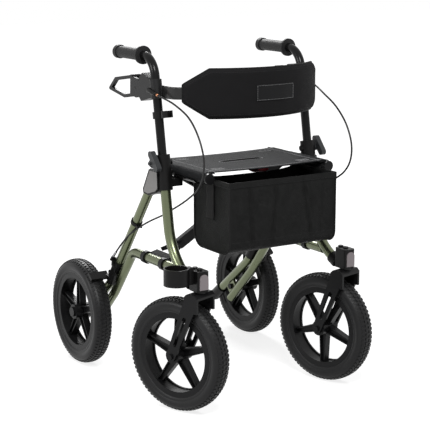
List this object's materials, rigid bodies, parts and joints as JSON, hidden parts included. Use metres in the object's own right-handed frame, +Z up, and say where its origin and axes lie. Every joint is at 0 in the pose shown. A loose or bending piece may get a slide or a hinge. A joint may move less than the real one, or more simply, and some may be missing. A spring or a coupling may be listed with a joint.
{
  "type": "all terrain rollator",
  "caption": "Folding four-wheeled all terrain rollator with large block-tread wheels, loop brakes, sling seat, bag, back band and cane holder.",
  "frame": {"origin": "floor level, in the middle of the footprint", "axes": "+Z up, -Y the walking direction, +X the user's left"},
  "size_m": [0.6443, 0.8004, 0.9295],
  "materials": {
    "frame_green": "satin metallic paint",
    "black_plastic": "fine moulded grain",
    "silver_cover": "satin",
    "black_coat": "satin powder coat",
    "grip_rubber": "matte",
    "lever_plastic": "satin",
    "cable_black": "smooth",
    "brake_black": "satin",
    "steel_bolt": "plated",
    "tyre_rubber": "matte",
    "rim_plastic": "satin",
    "reflector_grey": "glossy",
    "seat_fabric": "woven",
    "strap_red": "webbing",
    "bag_fabric": "woven",
    "pad_fabric": "woven"
  },
  "bodies": {
    "left_frame": {"front_tube_left": "frame_green", "lower_tube_left": "frame_green", "rear_leg_left": "frame_green", "tip_pedal_left": "black_plastic", "rear_axle_left": "steel_bolt", "cable_clip_left": "black_plastic", "caster_head_left": "black_plastic", "reflector_left": "reflector_grey", "joint_housing_left": "black_plastic", "housing_cover_left": "silver_cover", "brake_clamp_left": "black_plastic", "brake_cable_left": "cable_black"},
    "right_frame": {"front_tube_right": "frame_green", "lower_tube_right": "frame_green", "rear_leg_right": "frame_green", "tip_pedal_right": "black_plastic", "rear_axle_right": "steel_bolt", "cable_clip_right": "black_plastic", "caster_head_right": "black_plastic", "reflector_right": "reflector_grey", "joint_housing_right": "black_plastic", "housing_cover_right": "silver_cover", "brake_clamp_right": "black_plastic", "brake_cable_right": "cable_black", "cane_cup": "black_plastic"},
    "cross_a": {"crossbar_left": "black_coat", "cross_pin": "steel_bolt"},
    "cross_b": {"crossbar_right": "black_coat"},
    "rail_left": {"seat_rail_left": "black_coat", "seat_sling": "seat_fabric", "pull_strap": "strap_red", "bag": "bag_fabric"},
    "rail_right": {"seat_rail_right": "black_coat"},
    "handle_left": {"handle_tube_left": "black_coat", "handle_grip_left": "grip_rubber", "brake_bracket_left": "black_plastic", "backrest": "pad_fabric"},
    "handle_right": {"handle_tube_right": "black_coat", "handle_grip_right": "grip_rubber", "brake_bracket_right": "black_plastic", "cane_clip": "black_plastic"},
    "lever_left": {"brake_lever_left": "lever_plastic"},
    "shoe_left": {"brake_arm_left": "brake_black"},
    "knob_left": {"clamp_knob_left": "black_plastic"},
    "fork_left": {"caster_fork_left": "black_coat", "caster_axle_left": "steel_bolt"},
    "front_wheel_left": {"caster_tyre_left": "tyre_rubber", "caster_rim_left": "rim_plastic"},
    "rear_wheel_left": {"rear_tyre_left": "tyre_rubber", "rear_rim_left": "rim_plastic"},
    "lever_right": {"brake_lever_right": "lever_plastic"},
    "shoe_right": {"brake_arm_right": "brake_black"},
    "knob_right": {"clamp_knob_right": "black_plastic"},
    "fork_right": {"caster_fork_right": "black_coat", "caster_axle_right": "steel_bolt"},
    "front_wheel_right": {"caster_tyre_right": "tyre_rubber", "caster_rim_right": "rim_plastic"},
    "rear_wheel_right": {"rear_tyre_right": "tyre_rubber", "rear_rim_right": "rim_plastic"}
  },
  "joints": [
    {"name": "fold", "type": "hinge", "parent": "left_frame", "child": "cross_a", "pos_m": [0.232, -0.08945, 0.362], "axis": [0, 1, 0], "range_deg": [0, 29], "deforming": ["seat_sling", "bag", "pull_strap", "backrest"]},
    {"name": "fold_middle", "type": "hinge", "parent": "cross_a", "child": "cross_b", "pos_m": [0, -0.08945, 0.49876], "axis": [0, 1, 0], "range_deg": [-58, 0]},
    {"name": "fold_right_foot", "type": "hinge", "parent": "cross_b", "child": "right_frame", "pos_m": [-0.232, -0.08945, 0.362], "axis": [0, 1, 0], "range_deg": [0, 29]},
    {"name": "fold_rail_right", "type": "hinge", "parent": "cross_a", "child": "rail_right", "pos_m": [-0.187, -0.08945, 0.609], "axis": [0, 1, 0], "range_deg": [-29, 0]},
    {"name": "fold_rail_left", "type": "hinge", "parent": "cross_b", "child": "rail_left", "pos_m": [0.187, -0.08945, 0.609], "axis": [0, 1, 0], "range_deg": [0, 29]},
    {"name": "handle_slide_left", "type": "slide", "parent": "left_frame", "child": "handle_left", "axis": [0, 0.165, 0.9863], "range_m": [-0.06, 0.06], "deforming": ["brake_cable_left"]},
    {"name": "lever_turn_left", "type": "hinge", "parent": "handle_left", "child": "lever_left", "pos_m": [0.232, -0.01445, 0.818], "axis": [1, 0, 0], "range_deg": [0, 18], "stiffness_Nm_per_rad": 1.2},
    {"name": "shoe_turn_left", "type": "hinge", "parent": "left_frame", "child": "shoe_left", "pos_m": [0.2553, 0.12055, 0.26], "axis": [1, 0, 0], "range_deg": [-3.6, 0]},
    {"name": "knob_turn_left", "type": "hinge", "parent": "left_frame", "child": "knob_left", "pos_m": [0.262, -0.1328, 0.634], "axis": [1, 0, 0], "range_deg": [0, 360]},
    {"name": "caster_swivel_left", "type": "hinge", "parent": "left_frame", "child": "fork_left", "pos_m": [0.232, -0.31345, 0.345], "axis": [0, 0, 1], "continuous": true},
    {"name": "front_wheel_turn_left", "type": "hinge", "parent": "fork_left", "child": "front_wheel_left", "pos_m": [0.21492, -0.2497, 0.151], "axis": [0.9659, 0.2588, 0], "continuous": true},
    {"name": "rear_wheel_turn_left", "type": "hinge", "parent": "left_frame", "child": "rear_wheel_left", "pos_m": [0.286, 0.25155, 0.151], "axis": [1, 0, 0], "continuous": true},
    {"name": "handle_slide_right", "type": "slide", "parent": "right_frame", "child": "handle_right", "axis": [0, 0.165, 0.9863], "range_m": [-0.06, 0.06], "deforming": ["brake_cable_right"]},
    {"name": "lever_turn_right", "type": "hinge", "parent": "handle_right", "child": "lever_right", "pos_m": [-0.232, -0.01445, 0.818], "axis": [1, 0, 0], "range_deg": [0, 18], "stiffness_Nm_per_rad": 1.2},
    {"name": "shoe_turn_right", "type": "hinge", "parent": "right_frame", "child": "shoe_right", "pos_m": [-0.2553, 0.12055, 0.26], "axis": [1, 0, 0], "range_deg": [-3.6, 0]},
    {"name": "knob_turn_right", "type": "hinge", "parent": "right_frame", "child": "knob_right", "pos_m": [-0.262, -0.1328, 0.634], "axis": [-1, 0, 0], "range_deg": [0, 360]},
    {"name": "caster_swivel_right", "type": "hinge", "parent": "right_frame", "child": "fork_right", "pos_m": [-0.232, -0.31345, 0.345], "axis": [0, 0, 1], "continuous": true},
    {"name": "front_wheel_turn_right", "type": "hinge", "parent": "fork_right", "child": "front_wheel_right", "pos_m": [-0.25565, -0.25184, 0.151], "axis": [0.9336, 0.3584, 0], "continuous": true},
    {"name": "rear_wheel_turn_right", "type": "hinge", "parent": "right_frame", "child": "rear_wheel_right", "pos_m": [-0.286, 0.25155, 0.151], "axis": [1, 0, 0], "continuous": true}
  ],
  "couplings": [
    {"joint": "fold_middle", "follows": "fold", "ratio": -2},
    {"joint": "fold_right_foot", "follows": "fold", "ratio": 1},
    {"joint": "fold_rail_right", "follows": "fold", "ratio": -1},
    {"joint": "fold_rail_left", "follows": "fold", "ratio": 1},
    {"joint": "shoe_turn_left", "follows": "lever_turn_left", "ratio": -0.2},
    {"joint": "shoe_turn_right", "follows": "lever_turn_right", "ratio": -0.2},
    {"joint": "handle_slide_right", "follows": "handle_slide_left", "ratio": 1}
  ]
}
